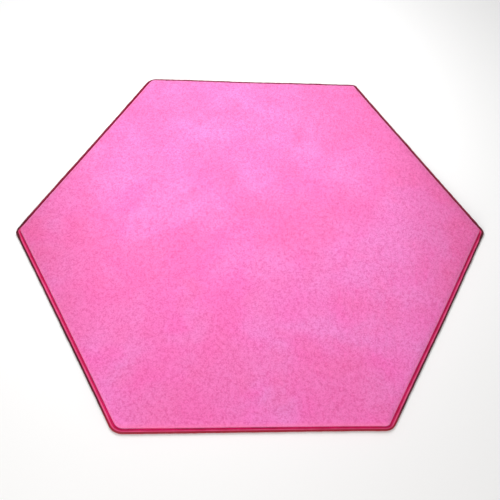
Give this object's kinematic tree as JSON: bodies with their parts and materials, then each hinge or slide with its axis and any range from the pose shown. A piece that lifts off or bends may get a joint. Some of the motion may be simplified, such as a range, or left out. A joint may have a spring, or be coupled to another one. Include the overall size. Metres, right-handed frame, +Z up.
{
  "type": "hexagonal padded floor mat",
  "caption": "Six-sided padded floor mat with a short-pile plush top, a sponge core, an anti-slip underside and a sewn edge tape.",
  "frame": {"origin": "middle of the underside, on the surface the mat lies on", "axes": "+Z up through the mat, +X through one corner to the opposite corner, +Y square to a flat side"},
  "size_m": [1.3868, 1.212, 0.0245],
  "materials": {
    "fleece": "matte",
    "edge_tape": "satin",
    "thread": "satin",
    "sponge": "matte",
    "grip_cloth": "matte"
  },
  "bodies": {
    "root": {"foam_core": "sponge", "top_panel": "fleece", "bottom_panel": "grip_cloth", "front_binding": "edge_tape", "rear_binding": "edge_tape", "needle_thread": "thread", "bobbin_thread": "thread", "tack_thread": "thread", "join_threads": "thread"}
  },
  "joints": []
}
